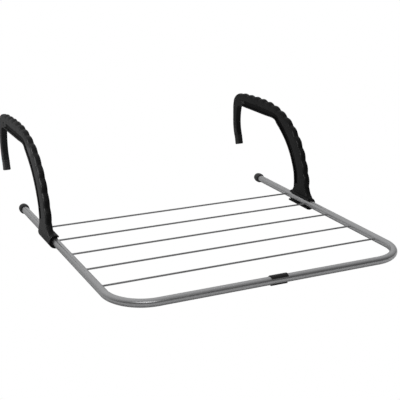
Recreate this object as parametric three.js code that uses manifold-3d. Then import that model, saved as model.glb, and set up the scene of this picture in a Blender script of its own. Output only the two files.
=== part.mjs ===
// Over-rail hanging airer: a U-shaped tube frame with cross wires, two wall caps, two swivelling
// hook arms that also slide along the side tubes, and a snap clip on the front bar.
// Millimetres, +Z up, +Y towards the wall or rail, X along the front bar. Shapes are drawn with the
// front bar on Y = 0 and the tube axes on Z = 0; place() then moves the origin to the hook seats.
import * as THREE from "three";
import { mergeVertices } from "three/addons/utils/BufferGeometryUtils.js";
import Module from "manifold-3d";

const wasm = await Module();
wasm.setup();

// ---- driving dimensions ----
const GAP = 0.3; // clearance between pieces that touch

const TUBE_SPAN = 500; // side tube to side tube, centre to centre
const TUBE_R = 6.5;
const TUBE_WALL = 1.0;
const TUBE_END_Y = 499; // open rear ends of the U
const BEND_R = 60; // centreline radius of the two front corners
const BEND_STEPS = 10;

const WIRE_R = 1.5;
const WIRE_COUNT = 5;
const WIRE_FIRST_Y = 87;
const WIRE_PITCH = 72;
const WELD_R = 2.4;
const WELD_LENGTH = 2.6;

const CAP_R = 9.2;
const CAP_FRONT_Y = 489.5;
const CAP_REAR_Y = 507.5;
const CAP_FACE_R = 4.2; // flat spot that bears on the wall

const CLIP_X = 7;
const CLIP_LENGTH = 28.5;
const CLIP_WALL = 1.3;
const CLIP_TOP_DEG = 38; // upper lip, measured up from straight ahead
const CLIP_BOTTOM_DEG = -62; // lower lip

const ARM_Y = WIRE_FIRST_Y + 3.5 * WIRE_PITCH; // the arms are drawn from this line
const FOOT_Y = ARM_Y - 9;
const FOOT_LENGTH = 66;
const FOOT_WALL = 3.4;
const FOOT_TOP_DEG = 118; // lips of the saddle, from straight outboard; it opens inwards
const FOOT_BOTTOM_DEG = -130;
const LINER_WALL = 1.2;
const LINER_SHORT_DEG = 4; // the liner stops this far short of the foot's lips
const LINER_PROUD = 0.6; // liner sticks out of the foot at each end

const ARM_OFFSET = 4.5; // arm mid-plane outboard of the tube axis
const ARM_THICK = 12;
const ARM_ROUND = 2.4;
const SCALLOP_PITCH = 27;
const SCALLOP_HEIGHT = 3.2;
const GROOVE_RIM = 4; // rim left along the concave edge
const GROOVE_WIDTH = 10;
const GROOVE_DEPTH = 4.4;

const HOOK_THICK = 12;
const HOOK_ROUND = 2;
const HOOK_LEAN_DEG = 16; // the tip points down and a little forward
const TENON_WIDTH = 8.4;
const TENON_THICK = 6;
const TENON_LENGTH = 11;
const PAD_WIDTH = 15.4;
const PAD_THICK = 12.4;
const PAD_LENGTH = 19;
const PAD_ROUND = 2.2;

// Side outlines of the arm: [behind ARM_Y, above the tube axis].
const CREST = [
  [-24.5, 28], [-19.5, 50], [-10, 74], [2.5, 97], [22, 120], [49, 140.5],
  [85, 155.5], [121, 163], [161, 165.5], [206, 164.5], [246, 162],
];
const SHOULDER = [[246, 162], [261, 158.5], [272, 149.5], [277, 136], [277.5, 122]];
const INNER_CORNER = [[259, 122], [257, 131.5], [250, 136]];
const SEAT_Y = ARM_Y + 177.5; // middle of the seat, front to back
const SEAT_Z = 136; // flat underside of the arms, above the tube axis
const KNEE = [105, SEAT_Z];
const CONCAVE = [[91, 128], [72, 115], [54.5, 100], [40, 83], [29.5, 66], [21.5, 48], [18.5, 30]];
const ROOT_FRONT = [-24, 12];
const ROOT_REAR = [20, 12];
const HOOK_REAR = [[277.5, 140], [277.5, 121], [276.5, 103], [273, 84], [267.5, 66.5]];
const HOOK_FRONT = [[254, 70.5], [259, 86], [261, 104], [258.5, 122], [257, 140]];
const FLARE_FRONT = [[-39, -3], [-38, 4], [-33.5, 10], [-28, 15.5], [-24.5, 22], [-21, 29]];
const FLARE_REAR = [[14, 26], [18.5, 20], [23, 13.5], [27, 5], [28.5, -3]];

const rad = THREE.MathUtils.degToRad;

// ---- solids and geometries ----
function toSolid(geometry) {
  const bare = geometry.clone();
  bare.deleteAttribute("normal");
  bare.deleteAttribute("uv");
  const merged = mergeVertices(bare, 1e-4);
  const mesh = new wasm.Mesh({
    numProp: 3,
    vertProperties: new Float32Array(merged.attributes.position.array),
    triVerts: new Uint32Array(merged.index.array),
  });
  return new wasm.Manifold(mesh);
}

function toGeometry(solid) {
  const mesh = solid.getMesh();
  const geometry = new THREE.BufferGeometry();
  geometry.setAttribute("position", new THREE.BufferAttribute(mesh.vertProperties, 3));
  geometry.setIndex(new THREE.BufferAttribute(mesh.triVerts, 1));
  geometry.computeVertexNormals();
  return geometry;
}

function mirrored(geometry) {
  const copy = geometry.clone();
  copy.scale(-1, 1, 1);
  const index = copy.index.array;
  for (let i = 0; i < index.length; i += 3) {
    [index[i + 1], index[i + 2]] = [index[i + 2], index[i + 1]];
  }
  copy.computeVertexNormals();
  return copy;
}

// Outline drawn in the side view (Y, Z), given a thickness along X about xCentre.
function sidePlate(points, thickness, xCentre, round, segments = 2) {
  const geometry = new THREE.ExtrudeGeometry(new THREE.Shape(points), {
    depth: thickness - 2 * round,
    bevelEnabled: round > 0,
    bevelThickness: round,
    bevelSize: round,
    bevelOffset: -round,
    bevelSegments: segments,
  });
  geometry.translate(0, 0, round - thickness / 2);
  const toSide = new THREE.Matrix4().makeBasis(
    new THREE.Vector3(0, 1, 0),
    new THREE.Vector3(0, 0, 1),
    new THREE.Vector3(1, 0, 0),
  );
  geometry.applyMatrix4(toSide);
  geometry.translate(xCentre, 0, 0);
  return geometry;
}

// C-shaped section round a tube, with rounded lips, covering startDeg to endDeg.
function cSection(inner, outer, startDeg, endDeg) {
  const start = rad(startDeg);
  const end = rad(endDeg);
  const middle = (inner + outer) / 2;
  const lip = (outer - inner) / 2;
  const shape = new THREE.Shape();
  shape.absarc(0, 0, outer, start, end, false);
  shape.absarc(middle * Math.cos(end), middle * Math.sin(end), lip, end, end + Math.PI, false);
  shape.absarc(0, 0, inner, end, start, true);
  const from = start + Math.PI;
  shape.absarc(middle * Math.cos(start), middle * Math.sin(start), lip, from, from + Math.PI, false);
  return shape;
}

// The C section above as a sleeve along Y, centred on yCentre.
function sleeveAlongY(section, length, xCentre, yCentre, curveSegments) {
  const geometry = new THREE.ExtrudeGeometry(section, {
    depth: length,
    bevelEnabled: false,
    curveSegments,
  });
  geometry.rotateX(Math.PI / 2);
  geometry.translate(xCentre, yCentre + length / 2, 0);
  return geometry;
}

function roundedRect(width, thickness, round) {
  const shape = new THREE.Shape();
  const w = width / 2;
  const t = thickness / 2;
  shape.absarc(w - round, t - round, round, 0, Math.PI / 2, false);
  shape.absarc(round - w, t - round, round, Math.PI / 2, Math.PI, false);
  shape.absarc(round - w, round - t, round, Math.PI, 1.5 * Math.PI, false);
  shape.absarc(w - round, round - t, round, 1.5 * Math.PI, 2 * Math.PI, false);
  return shape;
}

// ---- frame ----
class FramePath extends THREE.Curve {
  constructor() {
    super();
    const half = TUBE_SPAN / 2;
    this.stations = [];
    this.add(-half, TUBE_END_Y, 0, -1);
    for (let i = 0; i <= BEND_STEPS; i += 1) {
      const a = (Math.PI / 2) * (i / BEND_STEPS);
      const x = -half + BEND_R * (1 - Math.cos(a));
      this.add(x, BEND_R * (1 - Math.sin(a)), Math.sin(a), -Math.cos(a));
    }
    for (let i = 0; i <= BEND_STEPS; i += 1) {
      const a = (Math.PI / 2) * (i / BEND_STEPS);
      const x = half - BEND_R * (1 - Math.sin(a));
      this.add(x, BEND_R * (1 - Math.cos(a)), Math.cos(a), Math.sin(a));
    }
    this.add(half, TUBE_END_Y, 0, 1);
  }

  add(x, y, tx, ty) {
    this.stations.push([new THREE.Vector3(x, y, 0), new THREE.Vector3(tx, ty, 0)]);
  }

  at(u) {
    return this.stations[Math.round(u * (this.stations.length - 1))];
  }

  getPointAt(u) {
    return this.at(u)[0].clone();
  }

  getTangentAt(u) {
    return this.at(u)[1].clone();
  }
}

function frameTube() {
  const ring = new THREE.Shape();
  ring.absarc(0, 0, TUBE_R, 0, 2 * Math.PI, false);
  const bore = new THREE.Path();
  bore.absarc(0, 0, TUBE_R - TUBE_WALL, 0, 2 * Math.PI, true);
  ring.holes.push(bore);
  const path = new FramePath();
  return new THREE.ExtrudeGeometry(ring, {
    steps: path.stations.length - 1,
    extrudePath: path,
    curveSegments: 12,
  });
}

function dryingWire(y) {
  const half = TUBE_SPAN / 2 - TUBE_R - GAP;
  const profile = [
    [0, -half], [WELD_R, -half], [WIRE_R, WELD_LENGTH - half],
    [WIRE_R, half - WELD_LENGTH], [WELD_R, half], [0, half],
  ].map(([r, along]) => new THREE.Vector2(r, along));
  const geometry = new THREE.LatheGeometry(profile, 14);
  geometry.rotateZ(-Math.PI / 2);
  geometry.translate(0, y, 0);
  return geometry;
}

function endCap(x) {
  const socket = TUBE_R + GAP;
  const length = CAP_REAR_Y - CAP_FRONT_Y;
  const profile = [
    [0, TUBE_END_Y + GAP], [socket, TUBE_END_Y + GAP], [socket, CAP_FRONT_Y],
    [CAP_R - 1.2, CAP_FRONT_Y], [CAP_R - 0.3, CAP_FRONT_Y + 0.09 * length],
    [CAP_R, CAP_FRONT_Y + 0.3 * length], [CAP_R - 0.2, CAP_FRONT_Y + 0.52 * length],
    [CAP_R - 1.1, CAP_FRONT_Y + 0.74 * length], [CAP_R - 2.7, CAP_FRONT_Y + 0.92 * length],
    [CAP_FACE_R, CAP_REAR_Y], [0, CAP_REAR_Y],
  ].map(([r, along]) => new THREE.Vector2(r, along));
  const geometry = new THREE.LatheGeometry(profile, 28);
  geometry.translate(x, 0, 0);
  return geometry;
}

function frontClip() {
  const inner = TUBE_R + GAP;
  const start = 180 - CLIP_BOTTOM_DEG - 360;
  const end = 180 - CLIP_TOP_DEG;
  const section = cSection(inner, inner + CLIP_WALL, start, end);
  const geometry = new THREE.ExtrudeGeometry(section, {
    depth: CLIP_LENGTH,
    bevelEnabled: false,
    curveSegments: 16,
  });
  geometry.rotateX(Math.PI / 2);
  geometry.rotateZ(Math.PI / 2);
  geometry.translate(CLIP_X - CLIP_LENGTH / 2, 0, 0);
  return geometry;
}

// ---- arm, drawn for the right-hand side tube ----
function spline(points, divisions) {
  const knots = points.map(([a, b]) => new THREE.Vector2(a + ARM_Y, b));
  return new THREE.SplineCurve(knots).getPoints(divisions);
}

function offsetEdge(points, distance) {
  return points.map((p, i) => {
    const before = points[Math.max(i - 1, 0)];
    const after = points[Math.min(i + 1, points.length - 1)];
    const along = after.clone().sub(before).normalize();
    return new THREE.Vector2(p.x + along.y * distance, p.y - along.x * distance);
  });
}

function scallopedCrest() {
  const knots = CREST.map(([a, b]) => new THREE.Vector2(a + ARM_Y, b));
  const curve = new THREE.SplineCurve(knots);
  const length = curve.getLength();
  const bumps = Math.round(length / SCALLOP_PITCH);
  const perBump = 6;
  const count = bumps * perBump;
  const points = [];
  for (let i = 0; i <= count; i += 1) {
    const p = curve.getPointAt(i / count);
    const t = curve.getTangentAt(i / count);
    const rise = SCALLOP_HEIGHT * (Math.abs(Math.sin((Math.PI * i) / perBump)) - 0.65);
    points.push(new THREE.Vector2(p.x - t.y * rise, p.y + t.x * rise));
  }
  return points;
}

function bandOutline() {
  return [
    new THREE.Vector2(ROOT_FRONT[0] + ARM_Y, ROOT_FRONT[1]),
    ...scallopedCrest(),
    ...spline(SHOULDER, 9).slice(1),
    ...spline(INNER_CORNER, 3),
    new THREE.Vector2(KNEE[0] + ARM_Y, KNEE[1]),
    ...spline(CONCAVE, 18),
    new THREE.Vector2(ROOT_REAR[0] + ARM_Y, ROOT_REAR[1]),
  ];
}

function concaveEdge() {
  const under = [[250, SEAT_Z], [200, SEAT_Z], KNEE];
  const foot = [18.5, 20];
  return [...spline([foot, ...CONCAVE.toReversed()], 20), ...spline(under.reverse(), 6)];
}

function grooveTool(side, xCentre) {
  const edge = concaveEdge();
  const near = offsetEdge(edge, -GROOVE_RIM);
  const far = offsetEdge(edge, -GROOVE_RIM - GROOVE_WIDTH);
  const face = xCentre + side * (ARM_THICK / 2);
  return sidePlate([...near, ...far.reverse()], 2 * GROOVE_DEPTH, face, 0);
}

function alongHook(shape, length, top) {
  const geometry = new THREE.ExtrudeGeometry(shape, {
    depth: length,
    bevelEnabled: false,
    curveSegments: 3,
  });
  geometry.rotateX(Math.PI);
  geometry.rotateZ(Math.PI / 2);
  geometry.translate(0, 0, top);
  geometry.rotateX(rad(-HOOK_LEAN_DEG));
  return geometry;
}

const hookEnd = new THREE.Vector3(
  TUBE_SPAN / 2 + ARM_OFFSET,
  ARM_Y + (HOOK_REAR.at(-1)[0] + HOOK_FRONT[0][0]) / 2,
  (HOOK_REAR.at(-1)[1] + HOOK_FRONT[0][1]) / 2,
);

function placeOnHook(geometry) {
  geometry.translate(hookEnd.x, hookEnd.y, hookEnd.z);
  return geometry;
}

function armSolid() {
  const x = TUBE_SPAN / 2 + ARM_OFFSET;
  const bore = TUBE_R + GAP + LINER_WALL + GAP;
  const hook = [...spline(HOOK_REAR, 10), ...spline(HOOK_FRONT, 10)];
  const flare = [...spline(FLARE_REAR, 7), ...spline(FLARE_FRONT, 9)];
  const ring = cSection(bore, bore + FOOT_WALL, FOOT_BOTTOM_DEG, FOOT_TOP_DEG);
  const tenon = roundedRect(TENON_WIDTH, TENON_THICK, 1.2);
  const boreTool = new THREE.CylinderGeometry(bore, bore, 2 * FOOT_LENGTH, 48);
  boreTool.translate(TUBE_SPAN / 2, FOOT_Y, 0);

  let arm = toSolid(sidePlate(bandOutline(), ARM_THICK, x, ARM_ROUND));
  arm = arm.add(toSolid(sidePlate(hook, HOOK_THICK, x, HOOK_ROUND)));
  arm = arm.subtract(toSolid(grooveTool(1, x)));
  arm = arm.subtract(toSolid(grooveTool(-1, x)));
  arm = arm.add(toSolid(sidePlate(flare, ARM_THICK, x, ARM_ROUND)));
  arm = arm.subtract(toSolid(boreTool));
  arm = arm.add(toSolid(sleeveAlongY(ring, FOOT_LENGTH, TUBE_SPAN / 2, FOOT_Y, 24)));
  arm = arm.add(toSolid(placeOnHook(alongHook(tenon, TENON_LENGTH + 4, 4))));
  return arm;
}

function padSolid() {
  const body = roundedRect(PAD_WIDTH, PAD_THICK, PAD_ROUND);
  const socket = roundedRect(TENON_WIDTH + 2 * GAP, TENON_THICK + 2 * GAP, 1.2);
  const outer = toSolid(placeOnHook(alongHook(body, PAD_LENGTH, -GAP)));
  const inner = toSolid(placeOnHook(alongHook(socket, TENON_LENGTH + 4, 4 - GAP)));
  return outer.subtract(inner);
}

function liner() {
  const inner = TUBE_R + GAP;
  const start = FOOT_BOTTOM_DEG + LINER_SHORT_DEG;
  const section = cSection(inner, inner + LINER_WALL, start, FOOT_TOP_DEG - LINER_SHORT_DEG);
  return sleeveAlongY(section, FOOT_LENGTH + 2 * LINER_PROUD, TUBE_SPAN / 2, FOOT_Y, 24);
}

// ---- assembly ----
const group = new THREE.Group();
group.name = "over_rail_airer";

function place(name, geometry, colour, roughness, metalness) {
  const material = new THREE.MeshStandardMaterial({ color: colour, roughness, metalness });
  material.name = name;
  geometry.translate(0, -SEAT_Y, -SEAT_Z);
  const mesh = new THREE.Mesh(geometry, material);
  mesh.name = name;
  group.add(mesh);
}

place("frame_tube", frameTube(), 0x9b9da0, 0.4, 0.35);
for (let i = 0; i < WIRE_COUNT; i += 1) {
  place(`drying_wire_${i + 1}`, dryingWire(WIRE_FIRST_Y + i * WIRE_PITCH), 0x909295, 0.42, 0.35);
}
place("end_cap_left", endCap(-TUBE_SPAN / 2), 0x56585b, 0.7, 0);
place("end_cap_right", endCap(TUBE_SPAN / 2), 0x56585b, 0.7, 0);
place("front_clip", frontClip(), 0x1c1d1f, 0.5, 0);

const rightPieces = [
  ["hook_arm", toGeometry(armSolid()), 0x2b2c2e, 0.5],
  ["hook_tip_pad", toGeometry(padSolid()), 0x141516, 0.8],
  ["foot_liner", toGeometry(toSolid(liner())), 0x121314, 0.75],
];
for (const [name, geometry, colour, roughness] of rightPieces) {
  place(`${name}_left`, mirrored(geometry), colour, roughness, 0);
  place(`${name}_right`, geometry, colour, roughness, 0);
}

export default group;
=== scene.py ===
"""Looks for the over-rail hanging airer: silver U tube with cross wires, wall caps, a snap clip
and two moulded hook arms. Shapes are drawn in millimetres with the front bar on y = 0 and the tube
axes on z = 0, and at() carries them into the CAD frame in metres."""
import math

import bmesh
import bpy
from mathutils import Matrix, Vector
from mathutils.kdtree import KDTree


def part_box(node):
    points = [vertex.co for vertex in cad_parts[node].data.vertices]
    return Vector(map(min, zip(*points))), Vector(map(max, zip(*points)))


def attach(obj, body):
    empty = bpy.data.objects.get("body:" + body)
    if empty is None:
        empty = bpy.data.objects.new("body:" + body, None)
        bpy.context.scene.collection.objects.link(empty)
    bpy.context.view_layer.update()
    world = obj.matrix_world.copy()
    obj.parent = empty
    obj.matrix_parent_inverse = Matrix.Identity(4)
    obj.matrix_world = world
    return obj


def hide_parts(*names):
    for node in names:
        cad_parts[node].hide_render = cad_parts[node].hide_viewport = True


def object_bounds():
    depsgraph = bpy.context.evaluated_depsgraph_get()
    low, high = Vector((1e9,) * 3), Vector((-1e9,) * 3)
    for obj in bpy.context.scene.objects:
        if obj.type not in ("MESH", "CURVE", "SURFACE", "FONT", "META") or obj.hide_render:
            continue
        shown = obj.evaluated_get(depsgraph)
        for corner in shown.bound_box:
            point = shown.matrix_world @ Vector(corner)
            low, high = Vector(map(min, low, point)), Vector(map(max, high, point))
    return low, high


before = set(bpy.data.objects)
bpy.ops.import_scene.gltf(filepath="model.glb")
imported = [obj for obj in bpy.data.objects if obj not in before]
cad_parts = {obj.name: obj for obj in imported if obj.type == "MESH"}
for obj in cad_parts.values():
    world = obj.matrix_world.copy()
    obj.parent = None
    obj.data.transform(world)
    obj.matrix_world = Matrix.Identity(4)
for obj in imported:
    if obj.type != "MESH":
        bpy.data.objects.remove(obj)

CAD_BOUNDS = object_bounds()
MM = 0.001

# ---- sizes, in millimetres ----
BEND_R = 60
TUBE_WALL = 1.0
CLEARANCE = 0.12  # between a tube and what is clipped on it
WIRE_R = 1.5
WELD_SINK = 0.12  # how deep a wire's end sits in the tube
BEAD_R = 2.35
BEAD_RUN = 3.2  # from the tube along the wire
ARM_OUTBOARD = 4.5  # middle of an arm, outside the tube axis
ARM_BEHIND_FOOT = 9
ARM_THICK = 12
ARM_CREST_ROUND = 5.0
HOOK_CREST_ROUND = 2.6
EDGE_ROUND = 1.6  # along the concave side
BORE_R = 8.35
FOOT_R = 11.65
UPPER_LIP_DEG = 118
LOWER_LIP_DEG = -130
LINER_R = 8.05
LINER_PROUD = 0.6  # past each end of the foot
LINER_BACK_DEG = 4  # how far its lips stay behind the foot's
CLIP_TOP_DEG = 38
CLIP_BOTTOM_DEG = 62
SCALLOP_PITCH = 27
SCALLOP_HEIGHT = 3.2
SCALLOP_MEAN = 0.65  # share of a scallop's height that lies below CREST
RIM_WIDTH = 4.0  # from the concave edge to the channel
CHANNEL_END = 14.0  # from the concave edge to the channel's far side
CHANNEL_WALL = 0.9
CHANNEL_DEPTH = 4.4
CHANNEL_START_Z = 15
FLARE_BOTTOM = -2.8
FLARE_TOP = 28
FLARE_CORNER = 3.4
PAD_WIDTH = 15.4
PAD_THICK = 12.4
PAD_LENGTH = 19.0
PAD_CORNER = 2.4
PAD_END_ROUND = 2.0
HOOK_LEAN = math.radians(16)
VOXEL = 0.5

# ---- places, read from the CAD nodes ----
TUBE_LOW, TUBE_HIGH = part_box("frame_tube")
TUBE_R = (TUBE_HIGH.z - TUBE_LOW.z) / 2 / MM
ORIGIN = Vector((0, TUBE_LOW.y + TUBE_R * MM, (TUBE_LOW.z + TUBE_HIGH.z) / 2))
HALF_SPAN = TUBE_HIGH.x / MM - TUBE_R
TUBE_END_Y = (TUBE_HIGH.y - ORIGIN.y) / MM
CAP_LOW, CAP_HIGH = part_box("end_cap_right")
CLIP_LOW, CLIP_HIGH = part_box("front_clip")
LINER_LOW, LINER_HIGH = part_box("foot_liner_right")
FOOT_Y = ((LINER_LOW.y + LINER_HIGH.y) / 2 - ORIGIN.y) / MM
FOOT_HALF = (LINER_HIGH.y - LINER_LOW.y) / 2 / MM - LINER_PROUD
ARM_X = HALF_SPAN + ARM_OUTBOARD
ARM_Y = FOOT_Y + ARM_BEHIND_FOOT

# ---- side outlines of an arm: (behind ARM_Y, above the tube axis) ----
CREST = [
    (-24.5, 28), (-19.5, 50), (-10, 74), (2.5, 97), (22, 120), (49, 140.5),
    (85, 155.5), (121, 163), (161, 165.4), (206, 164.4), (246, 162),
    (261, 158.5), (272, 149.5), (276.9, 136), (277.4, 121), (276.4, 103), (273, 84), (267.5, 66.5),
]
UNDER = [
    (18.5, 30), (21.5, 48), (29.5, 66), (40, 83), (54.5, 100), (72, 115), (91, 128), (105, 136),
    (140, 136), (180, 136), (215, 136), (243, 136), (255, 133), (259, 122), (261, 104),
    (259, 86), (254, 70.5),
]
# Shares along CREST, unless the name says UNDER: the grip's end, the channel's end, the hook's start.
GRIP_END, GRIP_END_UNDER = 0.745, 0.755
CHANNEL_STOP = 0.735
HOOK_START, HOOK_BLEND = 0.76, 0.07
SHORT_BLEND = 0.02
# Share along CREST and along UNDER that face each other across the arm.
PAIRS = [
    (0, 0), (0.27, 0.235), (0.40, 0.40), (GRIP_END, GRIP_END_UNDER), (0.805, 0.815), (0.85, 0.845),
    (1, 1),
]
ROOT = [((-24, 12), (20, 12)), ((-24.2, 20), (18.6, 21))]
FLARE_FRONT = [(-39, -3), (-38, 4), (-33.5, 10), (-28, 15.5), (-24.5, 22), (-21, 29)]
FLARE_REAR = [(28.5, -3), (27, 5), (23, 13.5), (18.5, 20), (14, 26), (10, 29)]

# ---- outline of a wall cap: (inside its widest radius, share of its length from the front) ----
CAP_OUTLINE = [
    (1.5, 0.0), (1.15, 0.005), (0.75, 0.025), (0.45, 0.065), (0.2, 0.14), (0.05, 0.22), (0, 0.3),
    (0.02, 0.4), (0.2, 0.52), (0.55, 0.63), (1.1, 0.74), (1.85, 0.84), (2.9, 0.925), (3.9, 0.972),
    (4.7, 0.993), (5.3, 1.0),
]
CAP_SOCKET_PLAY = 0.05
# (radius, short of the rear end): the small dimple in the flat of the cap.
CAP_DIMPLE = [(2.4, 0), (2.1, 0.12), (1.9, 0.35)]


def at(x, y, z):
    """A point in millimetres, in the frame in metres."""
    return ORIGIN + Vector((x, y, z)) * MM


def lerp(a, b, t):
    return a + (b - a) * t


def smooth(t):
    t = min(max(t, 0.0), 1.0)
    return t * t * (3 - 2 * t)


def table(points, x):
    """Piecewise linear value at x of (x, value) points."""
    for (x0, v0), (x1, v1) in zip(points, points[1:]):
        if x <= x1:
            return lerp(v0, v1, (x - x0) / (x1 - x0))
    return points[-1][1]


def catmull(points):
    """A smooth line through 2-D points."""
    steps = 24
    pts = [Vector(p) for p in points]
    pts = [pts[0] * 2 - pts[1]] + pts + [pts[-1] * 2 - pts[-2]]
    line = []
    for a, b, c, d in zip(pts, pts[1:], pts[2:], pts[3:]):
        for i in range(steps):
            t = i / steps
            line.append(0.5 * (2 * b + (c - a) * t + (2 * a - 5 * b + 4 * c - d) * t * t
                               + (3 * b - a - 3 * c + d) * t ** 3))
    line.append(pts[-2])
    return line


class Line:
    """A 2-D polyline read by its share of length."""

    def __init__(self, points):
        self.points = points
        self.far = [0.0]
        for a, b in zip(points, points[1:]):
            self.far.append(self.far[-1] + (b - a).length)
        self.length = self.far[-1]

    def point(self, share):
        want = min(max(share, 0.0), 1.0) * self.length
        low, high = 0, len(self.far) - 1
        while high - low > 1:
            mid = (low + high) // 2
            if self.far[mid] <= want:
                low = mid
            else:
                high = mid
        step = self.far[high] - self.far[low]
        return self.points[low].lerp(self.points[high], (want - self.far[low]) / step)


# ---- mesh helpers ----
def loft(bm, rings, closed=False):
    """Skins a row of rings with the same number of points, and caps its ends unless it is closed."""
    rows = [[bm.verts.new(p) for p in ring] for ring in rings]
    pairs = list(zip(rows, rows[1:]))
    if closed:
        pairs.append((rows[-1], rows[0]))
    for a, b in pairs:
        for i in range(len(a)):
            j = (i + 1) % len(a)
            bm.faces.new((a[i], a[j], b[j], b[i]))
    if not closed:
        bm.faces.new(rows[0])
        bm.faces.new(rows[-1])


def shade(mesh, angle):
    """Smooth shading, sharp where faces meet at more than angle degrees."""
    mesh.polygons.foreach_set("use_smooth", [True] * len(mesh.polygons))
    mesh.set_sharp_from_angle(angle=math.radians(angle))


def to_object(name, bm, smooth_angle=40):
    bmesh.ops.recalc_face_normals(bm, faces=bm.faces[:])
    mesh = bpy.data.meshes.new(name)
    bm.to_mesh(mesh)
    bm.free()
    obj = bpy.data.objects.new(name, mesh)
    bpy.context.scene.collection.objects.link(obj)
    shade(mesh, smooth_angle)
    return obj


def apply_modifiers(obj):
    """Replaces the mesh by what its modifiers make of it."""
    graph = bpy.context.evaluated_depsgraph_get()
    made = bpy.data.meshes.new_from_object(obj.evaluated_get(graph))
    obj.modifiers.clear()
    obj.data = made
    made.name = obj.name
    return obj


def bevel(obj, width):
    edge = obj.modifiers.new("edge", "BEVEL")
    edge.width = width * MM
    edge.segments = 3
    edge.limit_method = "ANGLE"
    edge.angle_limit = math.radians(35)
    return apply_modifiers(obj)


def remesh(obj):
    """Fuses the mesh's shells into one skin."""
    fuse = obj.modifiers.new("fuse", "REMESH")
    fuse.mode = "VOXEL"
    fuse.voxel_size = VOXEL * MM
    fuse.use_smooth_shade = True
    return apply_modifiers(obj)


def mirrored(obj, name):
    mesh = obj.data.copy()
    mesh.transform(Matrix.Diagonal((-1, 1, 1, 1)))
    mesh.flip_normals()
    mesh.name = name
    twin = bpy.data.objects.new(name, mesh)
    bpy.context.scene.collection.objects.link(twin)
    return twin


def finish_piece(obj, body, node, material):
    obj.data.materials.clear()
    obj.data.materials.append(material)
    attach(obj, body)
    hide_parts(node)


def circle_ring(centre, side, up, radius, count):
    ring = []
    for i in range(count):
        a = 2 * math.pi * i / count
        ring.append(centre + (side * math.cos(a) + up * math.sin(a)) * radius)
    return ring


def ring_on_right_tube(radius, y, count):
    """A circle round the axis of the right-hand tube."""
    ring = []
    for i in range(count):
        a = 2 * math.pi * i / count
        ring.append(at(HALF_SPAN + radius * math.cos(a), y, radius * math.sin(a)))
    return ring


# ---- tube frame ----
def tube_path():
    """(point, side) along the U, side being across the tube in its own plane."""
    path = []
    straight = 24
    corner = 30
    for i in range(straight):
        y = lerp(TUBE_END_Y, BEND_R, i / straight)
        path.append(((-HALF_SPAN, y), (1, 0)))
    for i in range(corner):
        a = math.pi / 2 * i / corner
        c, s = math.cos(a), math.sin(a)
        path.append(((-HALF_SPAN + BEND_R * (1 - c), BEND_R * (1 - s)), (c, s)))
    for i in range(straight):
        x = lerp(-HALF_SPAN + BEND_R, HALF_SPAN - BEND_R, i / straight)
        path.append(((x, 0), (0, 1)))
    for i in range(corner):
        a = math.pi / 2 * i / corner
        c, s = math.cos(a), math.sin(a)
        path.append(((HALF_SPAN - BEND_R * (1 - s), BEND_R * (1 - c)), (-s, c)))
    for i in range(straight + 1):
        y = lerp(BEND_R, TUBE_END_Y, i / straight)
        path.append(((HALF_SPAN, y), (-1, 0)))
    return path


def build_tube():
    bm = bmesh.new()
    up = Vector((0, 0, MM))
    count = 64
    outer, inner = [], []
    for (x, y), (side_x, side_y) in tube_path():
        centre = at(x, y, 0)
        side = Vector((side_x, side_y, 0)) * MM
        outer.append(circle_ring(centre, side, up, TUBE_R, count))
        inner.append(circle_ring(centre, side, up, TUBE_R - TUBE_WALL, count))
    loft(bm, outer + inner[::-1], closed=True)
    return to_object("frame_tube_fine", bm)


def wire_ring(index, wire_y, side, inboard, radius, lump):
    """A ring inboard of the tube's inner face; near the tube it bends to follow its round."""
    count = 28
    points = []
    for i in range(count):
        a = 2 * math.pi * i / count
        r = radius * (1 + lump * math.sin(3 * a + index * 1.7 + side))
        z = r * math.sin(a)
        reach = HALF_SPAN - math.sqrt((TUBE_R - WELD_SINK) ** 2 - z * z)
        flat = HALF_SPAN - TUBE_R + WELD_SINK
        x = lerp(reach, flat, smooth(inboard / BEAD_RUN)) - inboard
        points.append(at(side * x, wire_y + r * math.cos(a), z))
    return points


def build_wire(index):
    """A cross wire that swells into a slightly lumpy weld bead at each end."""
    low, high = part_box(f"drying_wire_{index}")
    wire_y = ((low.y + high.y) / 2 - ORIGIN.y) / MM
    steps = 9
    bead_lump = 0.05
    middle_spacing = 40
    ends = []
    for side in (-1, 1):
        rings = []
        for i in range(steps + 1):
            t = i / steps
            radius = WIRE_R + (BEAD_R - WIRE_R) * (1 - math.sqrt(1 - (1 - t) ** 2))
            lump = bead_lump * (1 - t)
            rings.append(wire_ring(index, wire_y, side, BEAD_RUN * t, radius, lump))
        ends.append(rings)
    middle = []
    for k in range(-5, 6):
        inboard = HALF_SPAN - TUBE_R - k * middle_spacing
        middle.append(wire_ring(index, wire_y, 1, inboard, WIRE_R, 0))
    bm = bmesh.new()
    loft(bm, ends[0] + middle + ends[1][::-1])
    return to_object(f"drying_wire_{index}_fine", bm, 60)


# ---- wall caps ----
def build_cap():
    front = (CAP_LOW.y - ORIGIN.y) / MM
    rear = (CAP_HIGH.y - ORIGIN.y) / MM
    radius = (CAP_HIGH.z - CAP_LOW.z) / 2 / MM
    socket = TUBE_R + CAP_SOCKET_PLAY
    length = rear - front
    profile = [(socket, TUBE_END_Y + 0.1), (socket, front + 0.5), (socket + 0.25, front + 0.12)]
    profile += [(radius - inside, front + share * length) for inside, share in CAP_OUTLINE]
    profile += [(dimple_r, rear - short) for dimple_r, short in CAP_DIMPLE]
    bm = bmesh.new()
    loft(bm, [ring_on_right_tube(r, y, 72) for r, y in profile])
    return to_object("end_cap_right_fine", bm, 50)


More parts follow.
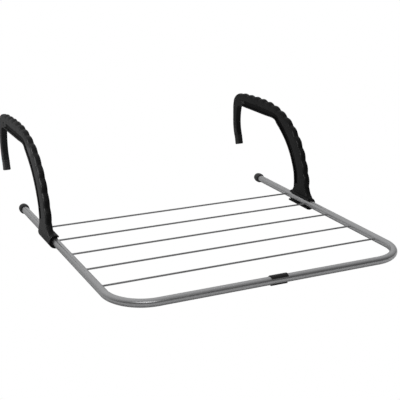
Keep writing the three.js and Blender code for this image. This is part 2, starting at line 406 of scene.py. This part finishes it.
# ---- C-shaped sleeves ----
def c_profile(inner, outer, start, end, arc_steps, lip_steps):
    """Closed outline of a C, as (along +x, along +z), with round lips; angles in degrees."""
    a0, a1 = math.radians(start), math.radians(end)
    middle, lip = (inner + outer) / 2, (outer - inner) / 2
    points = []
    for i in range(arc_steps + 1):
        a = lerp(a0, a1, i / arc_steps)
        points.append((outer * math.cos(a), outer * math.sin(a)))
    for i in range(1, lip_steps):
        a = a1 + math.pi * i / lip_steps
        points.append((middle * math.cos(a1) + lip * math.cos(a),
                       middle * math.sin(a1) + lip * math.sin(a)))
    for i in range(arc_steps + 1):
        a = lerp(a1, a0, i / arc_steps)
        points.append((inner * math.cos(a), inner * math.sin(a)))
    for i in range(1, lip_steps):
        a = a0 + math.pi + math.pi * i / lip_steps
        points.append((middle * math.cos(a0) + lip * math.cos(a),
                       middle * math.sin(a0) + lip * math.sin(a)))
    return points


def build_clip():
    outer = (CLIP_HIGH.z - CLIP_LOW.z) / 2 / MM
    middle = (CLIP_LOW.x + CLIP_HIGH.x) / 2 / MM
    half = (CLIP_HIGH.x - CLIP_LOW.x) / 2 / MM
    start, end = 180 - CLIP_TOP_DEG, 180 + CLIP_BOTTOM_DEG - 360
    section = c_profile(TUBE_R + CLEARANCE, outer, start, end, 56, 8)
    bm = bmesh.new()
    rings = []
    for share in (-1, -0.6, -0.2, 0.2, 0.6, 1):
        rings.append([at(middle + share * half, c, s) for c, s in section])
    loft(bm, rings)
    return bevel(to_object("front_clip_fine", bm), 0.45)


def build_liner():
    start, end = LOWER_LIP_DEG + LINER_BACK_DEG, UPPER_LIP_DEG - LINER_BACK_DEG
    section = c_profile(TUBE_R + CLEARANCE, LINER_R, start, end, 56, 6)
    bm = bmesh.new()
    rings = []
    for share in (-1, -0.5, 0, 0.5, 1):
        y = FOOT_Y + share * (FOOT_HALF + LINER_PROUD)
        rings.append([at(HALF_SPAN + c, y, s) for c, s in section])
    loft(bm, rings)
    return bevel(to_object("foot_liner_right_fine", bm), 0.3)


# ---- hook arms ----
def arm_section(width, groove, crest_round):
    """Closed outline (across, sideways): across runs from the concave edge to the crest."""
    half = ARM_THICK / 2
    near, far, wall = RIM_WIDTH, CHANNEL_END, CHANNEL_WALL
    past_channel = far + 0.5
    flat_steps = 10
    one = []
    for i in range(7):
        a = math.pi / 2 * i / 6
        one.append((EDGE_ROUND * (1 - math.cos(a)), half - EDGE_ROUND * (1 - math.sin(a))))
    # (across, share of the channel's depth) over the rim, near wall, floor and far wall
    for across, share in (
        (lerp(EDGE_ROUND, near - 0.8, 0.5), 0), (near - 0.7, 0), (near - 0.2, 0.04), (near, 0.3),
        (near + wall * 0.3, 0.8), (near + wall, 1), (near + wall + 2, 1), (far - wall - 1, 1),
        (far - wall, 1), (far - wall * 0.3, 0.7), (far, 0.2), (past_channel, 0),
    ):
        one.append((across, half - share * groove))
    start = width - crest_round
    for i in range(1, flat_steps):
        one.append((lerp(past_channel, start, i / flat_steps), half))
    for i in range(13):
        a = math.pi / 2 * i / 12
        one.append((start + crest_round * math.sin(a) ** 0.9,
                    half * math.cos(a) ** 0.62 if a < math.pi / 2 else 0.0))
    return one + [(u, -v) for u, v in one[-2:0:-1]] + [(one[0][0], -one[0][1])]


def section_ring(near, out, width, groove, crest_round):
    """One section of the arm, from near on the concave edge along the unit vector out."""
    ring = []
    for across, sideways in arm_section(width, groove, crest_round):
        p = near + out * across
        ring.append(at(ARM_X + sideways, ARM_Y + p.x, p.y))
    return ring


def arm_rings():
    """Sections from the root up the scalloped grip and along the hook to its tip."""
    crest, under = Line(catmull(CREST)), Line(catmull(UNDER))
    bumps = round(GRIP_END * crest.length / SCALLOP_PITCH)
    stations = 620
    rings = []
    for front, rear in ROOT:
        near, far = Vector(rear), Vector(front)
        out, width = (far - near).normalized(), (far - near).length
        groove = CHANNEL_DEPTH if near.y > CHANNEL_START_Z else 0
        rings.append(section_ring(near, out, width, groove, ARM_CREST_ROUND))
    for k in range(stations + 1):
        share = k / stations
        near, far = under.point(table(PAIRS, share)), crest.point(share)
        out = (far - near).normalized()
        grip = 1 - smooth((share - GRIP_END) / SHORT_BLEND)
        wave = abs(math.sin(math.pi * bumps * min(share, GRIP_END) / GRIP_END))
        far = far + out * (SCALLOP_HEIGHT * (wave - SCALLOP_MEAN) * grip)
        groove = CHANNEL_DEPTH * (1 - smooth((share - CHANNEL_STOP) / SHORT_BLEND))
        hook = smooth((share - HOOK_START) / HOOK_BLEND)
        crest_round = lerp(ARM_CREST_ROUND, HOOK_CREST_ROUND, hook)
        rings.append(section_ring(near, out, (far - near).length, groove, crest_round))
    return rings


def flare_rings():
    """Level sections of the flare that spreads from the arm down to its foot."""
    front_at = [(p.y, p.x) for p in catmull(FLARE_FRONT)]
    rear_at = [(p.y, p.x) for p in catmull(FLARE_REAR)]
    low_x = ARM_X - ARM_THICK / 2
    steps = 60
    foot_below = 4
    rings = []
    for k in range(steps + 1):
        z = lerp(FLARE_BOTTOM, FLARE_TOP, k / steps)
        y0, y1 = table(front_at, z), table(rear_at, z)
        high_x = ARM_X + ARM_THICK / 2
        if z < foot_below:
            high_x = min(high_x, HALF_SPAN + math.sqrt(FOOT_R ** 2 - min(z, 0) ** 2))
        corners = ((high_x, y1, 0), (low_x, y1, 90), (low_x, y0, 180), (high_x, y0, 270))
        ring = []
        for corner_x, corner_y, turn in corners:
            inward_x = -1 if corner_x == high_x else 1
            inward_y = -1 if corner_y == y1 else 1
            for i in range(9):
                a = math.radians(turn + 90 * i / 8)
                x = corner_x + FLARE_CORNER * (inward_x + math.cos(a))
                y = ARM_Y + corner_y + FLARE_CORNER * (inward_y + math.sin(a))
                ring.append(at(x, y, z))
        rings.append(ring)
    return rings


def build_blank():
    bm = bmesh.new()
    loft(bm, arm_rings())
    loft(bm, flare_rings())
    return to_object("arm_blank", bm)


def build_drill():
    bm = bmesh.new()
    loft(bm, [ring_on_right_tube(BORE_R, FOOT_Y + y, 96) for y in (-60, 60)])
    return to_object("arm_drill", bm)


def build_sleeve():
    section = c_profile(BORE_R, FOOT_R, LOWER_LIP_DEG, UPPER_LIP_DEG, 90, 8)
    half = FOOT_HALF - 0.1
    bm = bmesh.new()
    loft(bm, [[at(HALF_SPAN + c, FOOT_Y + y, s) for c, s in section] for y in (-half, half)])
    return to_object("arm_sleeve", bm)


def build_arm():
    """The right-hand arm: body and flare fused and bored, then fused with the foot's C sleeve."""
    blank, drill, sleeve = build_blank(), build_drill(), build_sleeve()
    remesh(blank)
    cut = blank.modifiers.new("bore", "BOOLEAN")
    cut.operation = "DIFFERENCE"
    cut.object = drill
    cut.solver = "EXACT"
    apply_modifiers(blank)
    bm = bmesh.new()
    bm.from_mesh(blank.data)
    bm.from_mesh(sleeve.data)
    for leftover in (blank, drill, sleeve):
        bpy.data.objects.remove(leftover)
    arm = to_object("hook_arm_right_fine", bm)
    remesh(arm)
    soften = arm.modifiers.new("soften", "SMOOTH")
    soften.factor = 0.5
    soften.iterations = 3
    thin = arm.modifiers.new("thin", "DECIMATE")
    thin.ratio = 0.3
    apply_modifiers(arm)
    shade(arm.data, 60)
    paint_channel_shade(arm.data)
    return arm


def paint_channel_shade(mesh):
    """Stores a mask of painted shade on the points, which darkens the arm's colour in its recesses: 1
    inside the channels of both faces, rim_shade on the rim along the concave edge, and 0 elsewhere."""
    # rim_shade: the painted shade on the rim, as a share of the painted shade in the channels
    rim_shade = 0.75
    fade = 0.8
    rim_end, floor_end = RIM_WIDTH - fade, CHANNEL_END + 0.2
    shallow, deep_by = 0.2, 0.9
    fade_up = 5
    line = Line(catmull(UNDER))
    count = 400
    tree = KDTree(count)
    for i in range(count):
        p = line.point(GRIP_END_UNDER * i / (count - 1))
        tree.insert((p.x, p.y, 0), i)
    tree.balance()
    values = []
    for vertex in mesh.vertices:
        p = (vertex.co - ORIGIN) / MM
        away = tree.find((p.y - ARM_Y, p.z, 0))[2]
        depth = ARM_THICK / 2 - abs(p.x - ARM_X)
        past_rim = smooth((away - rim_end) / fade)
        in_floor = 1 - smooth((away - floor_end) / fade)
        inside = past_rim * in_floor * smooth((depth - shallow) / deep_by)
        above_foot = smooth((p.z - CHANNEL_START_Z) / fade_up)
        values.append(max(inside, rim_shade * (1 - past_rim)) * above_foot)
    mesh.attributes.new("painted_shade", "FLOAT", "POINT").data.foreach_set("value", values)


# ---- hook tip pads ----
def pad_ring(inset, down):
    """A rounded rectangle, inset all round, down from the end of the hook along its lean."""
    top_y = ARM_Y + (CREST[-1][0] + UNDER[-1][0]) / 2
    top_z = (CREST[-1][1] + UNDER[-1][1]) / 2
    lean = Matrix.Rotation(-HOOK_LEAN, 3, "X")
    half_y, half_x = PAD_WIDTH / 2 - inset, PAD_THICK / 2 - inset
    r = max(PAD_CORNER - inset, 0.4)
    corners = ((half_y - r, half_x - r, 0), (r - half_y, half_x - r, 90),
               (r - half_y, r - half_x, 180), (half_y - r, r - half_x, 270))
    points = []
    for corner_y, corner_x, turn in corners:
        for i in range(9):
            a = math.radians(turn + 90 * i / 8)
            local = lean @ Vector((corner_x + r * math.sin(a), corner_y + r * math.cos(a), -down))
            points.append(at(ARM_X + local.x, top_y + local.y, top_z + local.z))
    return points


def build_pad():
    """A push-on pad with four shallow grip grooves and a round end."""
    grooves, first_groove, groove_pitch = 4, 2.6, 3.2
    # (inset, down): the top lip, and one groove from its own start
    top = ((1.1, -0.35), (0.5, -0.25), (0.15, 0.1), (0.0, 0.6))
    groove = ((0.0, 0), (0.12, 0.25), (0.42, 0.55), (0.42, 0.95), (0.12, 1.25), (0.0, 1.5))
    rings = [pad_ring(inset, down) for inset, down in top]
    for k in range(grooves):
        base = first_groove + k * groove_pitch
        rings += [pad_ring(inset, base + down) for inset, down in groove]
    for i in range(9):
        a = math.pi / 2 * i / 8
        down = PAD_LENGTH + 0.3 - PAD_END_ROUND * (1 - math.sin(a))
        rings.append(pad_ring(PAD_END_ROUND * (1 - math.cos(a)), down))
    bm = bmesh.new()
    loft(bm, rings)
    return to_object("hook_tip_pad_right_fine", bm, 50)


# ---- materials ----
def grey(value):
    """A very slightly cool grey."""
    return (value, value * 1.005, value * 1.02)


class Nodes:
    """Short names for building one shader."""

    def __init__(self, name):
        self.material = bpy.data.materials.new(name)
        self.material.use_nodes = True
        self.tree = self.material.node_tree
        self.tree.nodes.clear()
        self.output = self.add("ShaderNodeOutputMaterial")
        self.shader = self.add("ShaderNodeBsdfPrincipled")
        self.feed(self.output.inputs["Surface"], self.shader.outputs["BSDF"])
        self.place = self.add("ShaderNodeTexCoord").outputs["Object"]

    def add(self, kind, **values):
        node = self.tree.nodes.new(kind)
        for key, value in values.items():
            setattr(node, key, value)
        return node

    def feed(self, socket, value):
        """Links an output to a socket, or stores a number or a colour in it."""
        if isinstance(value, (int, float)):
            socket.default_value = value
        elif isinstance(value, tuple):
            socket.default_value = (*value, 1)
        else:
            self.tree.links.new(value, socket)

    def surface(self, **values):
        """Feeds sockets of the surface shader, with _ for the spaces in their names."""
        for name, value in values.items():
            self.feed(self.shader.inputs[name.replace("_", " ")], value)

    def grain(self, scale, detail=2.0, rough=0.5):
        tex = self.add("ShaderNodeTexNoise")
        tex.inputs["Scale"].default_value = scale
        tex.inputs["Detail"].default_value = detail
        tex.inputs["Roughness"].default_value = rough
        self.feed(tex.inputs["Vector"], self.place)
        return tex.outputs["Fac"]

    def cells(self, scale, output):
        tex = self.add("ShaderNodeTexVoronoi")
        tex.inputs["Scale"].default_value = scale
        self.feed(tex.inputs["Vector"], self.place)
        return tex.outputs[output]

    def ramp(self, source, *stops):
        """Colours or numbers along source; stops are (place, colour or number)."""
        node = self.add("ShaderNodeValToRGB")
        ramp = node.color_ramp
        while len(ramp.elements) < len(stops):
            ramp.elements.new(0.5)
        for element, (where, value) in zip(ramp.elements, stops):
            element.position = where
            element.color = (*(value if isinstance(value, tuple) else (value,) * 3), 1)
        self.feed(node.inputs["Fac"], source)
        return node.outputs["Color"]

    def math(self, how, a, b):
        node = self.add("ShaderNodeMath", operation=how)
        self.feed(node.inputs[0], a)
        self.feed(node.inputs[1], b)
        return node.outputs["Value"]

    def mix(self, factor, a, b, blend="MIX"):
        """A mix of two colours; a Mix node's colour sockets are numbers 6 and 7, and 2 comes out."""
        node = self.add("ShaderNodeMix", data_type="RGBA", blend_type=blend)
        for index, value in ((0, factor), (6, a), (7, b)):
            self.feed(node.inputs[index], value)
        return node.outputs[2]

    def mix_shader(self, factor, a, b):
        node = self.add("ShaderNodeMixShader")
        for index, value in enumerate((factor, a, b)):
            self.feed(node.inputs[index], value)
        return node.outputs["Shader"]

    def bump(self, *layers):
        """layers are (height, strength, distance in metres), coarse to fine."""
        normal = None
        for height, strength, distance in layers:
            node = self.add("ShaderNodeBump")
            node.inputs["Strength"].default_value = strength
            node.inputs["Distance"].default_value = distance
            self.feed(node.inputs["Height"], height)
            if normal is not None:
                self.feed(node.inputs["Normal"], normal)
            normal = node.outputs["Normal"]
        self.surface(Normal=normal)

    def attribute(self, name):
        """A number stored on the mesh points."""
        return self.add("ShaderNodeAttribute", attribute_name=name).outputs["Fac"]

    def edges(self, low, high):
        """1 on convex edges, 0 elsewhere, for paler edges that are partly wear and partly a painted
        highlight.
        """
        pointiness = self.add("ShaderNodeNewGeometry").outputs["Pointiness"]
        return self.ramp(pointiness, (low, 0.0), (high, 1.0))


def silver_paint(name, dark, light, metallic, roughness):
    """Silver powder coat: fine metal flake in a semi-gloss skin with slight orange peel."""
    n = Nodes(name)
    tint = n.ramp(n.cells(3800, "Color"), (0.0, dark), (1.0, light))
    drift = n.ramp(n.grain(9, 3), (0.35, 0.94), (0.65, 1.0))
    rough = n.ramp(n.grain(140, 4, 0.6), (0.3, roughness - 0.04), (0.7, roughness + 0.06))
    n.surface(Base_Color=n.mix(1.0, tint, drift, "MULTIPLY"), Roughness=rough, Metallic=metallic,
              Coat_Weight=0.25, Coat_Roughness=0.16)
    n.bump((n.grain(420, 2), 0.03, 0.0002), (n.grain(2600, 2), 0.02, 0.00005))
    return n.material


def moulded_plastic(name, dark, light, roughness, grain_strength, gloss=0.2, shade_channels=False):
    """Black moulded plastic with a spark-eroded grain and paler convex edges, wear with a painted
    highlight.
    With shaded channels it reads a point mask of painted shade and is darker and duller where that is
    1."""
    n = Nodes(name)
    # paler convex edges: partly wear, partly a painted highlight for the glints along the crest
    edge_wear_and_highlight_tone = tuple(c * 3.2 for c in light)
    tone = n.ramp(n.grain(28, 5, 0.62), (0.3, dark), (0.75, light))
    tone = n.mix(n.edges(0.52, 0.60), tone, edge_wear_and_highlight_tone)
    rough = n.ramp(n.grain(260, 4, 0.6), (0.25, roughness - 0.06), (0.75, roughness + 0.08))
    if shade_channels:
        # painted shade: the channels and the rim are darkened and dulled where the point mask is 1
        painted_shade = n.attribute("painted_shade")
        tone = n.mix(painted_shade, tone, grey(0.4), "MULTIPLY")
        rough = n.math("ADD", rough, n.math("MULTIPLY", painted_shade, 0.2))
    n.surface(Base_Color=tone, Roughness=rough, Specular_IOR_Level=gloss, Coat_Weight=0.08,
              Coat_Roughness=0.2)
    pits = n.math("MULTIPLY", n.cells(1150, "Distance"), 0.6)
    fine = n.math("ADD", n.grain(1500, 3, 0.6), pits)
    n.bump((n.grain(90, 2), 0.08, 0.0008), (fine, grain_strength, 0.00012))
    return n.material


def rubber(name, dark, light, roughness):
    """Soft rubber or PVC: dull, slightly blotched, with a fine matt skin."""
    n = Nodes(name)
    tone = n.ramp(n.grain(160, 4, 0.6), (0.3, dark), (0.7, light))
    rough = n.ramp(n.grain(700, 3), (0.3, roughness - 0.07), (0.7, roughness + 0.05))
    n.surface(Base_Color=tone, Roughness=rough, Sheen_Weight=0.04, Sheen_Roughness=0.5,
              Specular_IOR_Level=0.2)
    n.bump((n.grain(2200, 3), 0.18, 0.0001))
    return n.material


# ---- build ----
FRAME_PAINT = silver_paint("frame_paint", grey(0.46), grey(0.52), 0.96, 0.29)
WIRE_PAINT = silver_paint("wire_paint", grey(0.29), grey(0.34), 0.8, 0.36)
ARM_PLASTIC = moulded_plastic("arm_plastic", grey(0.0062), grey(0.0095), 0.42, 0.2,
                              gloss=0.04, shade_channels=True)
CLIP_PLASTIC = moulded_plastic("clip_plastic", grey(0.006), grey(0.009), 0.42, 0.12)
LINER_PLASTIC = moulded_plastic("liner_plastic", grey(0.005), grey(0.009), 0.5, 0.15)
CAP_RUBBER = rubber("cap_rubber", grey(0.05), grey(0.068), 0.62)
PAD_RUBBER = rubber("pad_rubber", grey(0.005), grey(0.008), 0.66)

finish_piece(build_tube(), "frame", "frame_tube", FRAME_PAINT)
for number in range(1, 6):
    finish_piece(build_wire(number), "frame", f"drying_wire_{number}", WIRE_PAINT)
finish_piece(build_clip(), "clip", "front_clip", CLIP_PLASTIC)

PAIRED = [
    (build_cap(), "end_cap", "frame", "cap_rubber", CAP_RUBBER),
    (build_liner(), "foot_liner", "slider_{}", "liner_plastic", LINER_PLASTIC),
    (build_arm(), "hook_arm", "arm_{}", "arm_plastic", ARM_PLASTIC),
    (build_pad(), "hook_tip_pad", "arm_{}", "pad_rubber", PAD_RUBBER),
]
ARM_AND_PAD_OBJECTS = []
for right, node, body, slot_name, look in PAIRED:
    left = mirrored(right, f"{node}_left_fine")
    for obj, side in ((left, "left"), (right, "right")):
        finish_piece(obj, body.format(side), f"{node}_{side}", look)
    if body.startswith("arm"):
        ARM_AND_PAD_OBJECTS += [right, left]


# ---- floor, light and camera; places in metres ----
def build_floor():
    """Pure white to the camera, pale grey to the light, and see-through from below."""
    half = 14.0
    gap = 0.0006
    z = CAD_BOUNDS[0].z - gap
    corners = ((-half, -half, z), (half, -half, z), (half, half, z), (-half, half, z))
    bm = bmesh.new()
    bm.faces.new([bm.verts.new(corner) for corner in corners])
    floor = to_object("floor", bm)
    n = Nodes("floor_white")
    tone = n.ramp(n.grain(3, 2), (0.3, 0.66), (0.7, 0.68))
    n.surface(Base_Color=tone, Roughness=0.8, Specular_IOR_Level=0.1)
    to_camera = n.add("ShaderNodeLightPath").outputs["Is Camera Ray"]
    white = n.add("ShaderNodeEmission").outputs["Emission"]
    above = n.mix_shader(to_camera, n.shader.outputs["BSDF"], white)
    from_below = n.add("ShaderNodeNewGeometry").outputs["Backfacing"]
    clear = n.add("ShaderNodeBsdfTransparent").outputs["BSDF"]
    n.feed(n.output.inputs["Surface"], n.mix_shader(from_below, above, clear))
    floor.data.materials.append(n.material)


def area_light(name, where, target, width, height, power):
    data = bpy.data.lights.new(name, "AREA")
    data.shape = "RECTANGLE"
    data.size, data.size_y = width, height
    data.energy = power
    lamp = bpy.data.objects.new(name, data)
    lamp.location = where
    lamp.visible_camera = False
    lamp.rotation_mode = "QUATERNION"
    lamp.rotation_quaternion = (Vector(target) - Vector(where)).to_track_quat("-Z", "Y")
    bpy.context.scene.collection.objects.link(lamp)
    return lamp


def build_lights():
    """A box at the left for the arms and their pads alone, a soft box high up at the right, and a
    long strip in front."""
    left_box = area_light("left_box", (-0.66, -0.10, 0.17), (-0.26, -0.06, 0.0), 0.5, 0.4, 6.5)
    lit_pieces = bpy.data.collections.new("lit_by_left_box")
    for obj in ARM_AND_PAD_OBJECTS:
        lit_pieces.objects.link(obj)
    left_box.light_linking.receiver_collection = lit_pieces
    top_box = area_light("top_box", (1.0, 0.1, 1.5), (0, -0.25, -0.1), 1.1, 0.9, 14)
    top_box.visible_glossy = False
    area_light("front_strip", (-0.5, -2.2, 1.5), (0, -0.45, -0.1), 1.8, 0.5, 8)


def build_camera():
    """The photograph's viewpoint: angles in degrees, lens and sensor in millimetres."""
    place = (-0.65098, -1.6084, 0.3893)
    azimuth, elevation, roll = (math.radians(a) for a in (25.70, 17.52, 0.323))
    forward = Vector((math.sin(azimuth) * math.cos(elevation),
                      math.cos(azimuth) * math.cos(elevation), -math.sin(elevation)))
    right = forward.cross(Vector((0, 0, 1))).normalized()
    up = right.cross(forward)
    rolled_right = right * math.cos(roll) + up * math.sin(roll)
    rolled_up = up * math.cos(roll) - right * math.sin(roll)
    data = bpy.data.cameras.new("camera")
    data.lens, data.sensor_width = 81.6, 36
    data.clip_start, data.clip_end = 0.05, 60
    camera = bpy.data.objects.new("camera", data)
    turn = Matrix((rolled_right, rolled_up, -forward)).transposed()
    camera.matrix_world = Matrix.Translation(place) @ turn.to_4x4()
    bpy.context.scene.collection.objects.link(camera)
    bpy.context.scene.camera = camera


def build_world():
    """White to the camera; as light, bright above and behind and dim towards the front."""
    brightest_way = (0, 0.6, 0.8)
    stops = ((0.0, 0.12), (0.9, 0.65))
    world = bpy.data.worlds.new("studio")
    world.use_nodes = True
    tree = world.node_tree
    tree.nodes.clear()
    output = tree.nodes.new("ShaderNodeOutputWorld")
    place = tree.nodes.new("ShaderNodeTexCoord")
    aim = tree.nodes.new("ShaderNodeVectorMath")
    aim.operation = "DOT_PRODUCT"
    aim.inputs[1].default_value = brightest_way
    ramp = tree.nodes.new("ShaderNodeValToRGB")
    for element, (where, value) in zip(ramp.color_ramp.elements, stops):
        element.position = where
        element.color = (value, value, value, 1)
    lit = tree.nodes.new("ShaderNodeBackground")
    seen = tree.nodes.new("ShaderNodeBackground")
    seen.inputs["Color"].default_value = (1, 1, 1, 1)
    path = tree.nodes.new("ShaderNodeLightPath")
    pick = tree.nodes.new("ShaderNodeMixShader")
    for source, socket in (
        (place.outputs["Generated"], aim.inputs[0]),
        (aim.outputs["Value"], ramp.inputs["Fac"]),
        (ramp.outputs["Color"], lit.inputs["Color"]),
        (path.outputs["Is Camera Ray"], pick.inputs["Fac"]),
        (lit.outputs["Background"], pick.inputs[1]),
        (seen.outputs["Background"], pick.inputs[2]),
        (pick.outputs["Shader"], output.inputs["Surface"]),
    ):
        tree.links.new(source, socket)
    bpy.context.scene.world = world


def set_view():
    view = bpy.context.scene.view_settings
    view.view_transform = "Standard"
    view.look = "None"
    view.exposure = 0
    view.gamma = 1


build_floor()
build_camera()
build_lights()
build_world()
set_view()
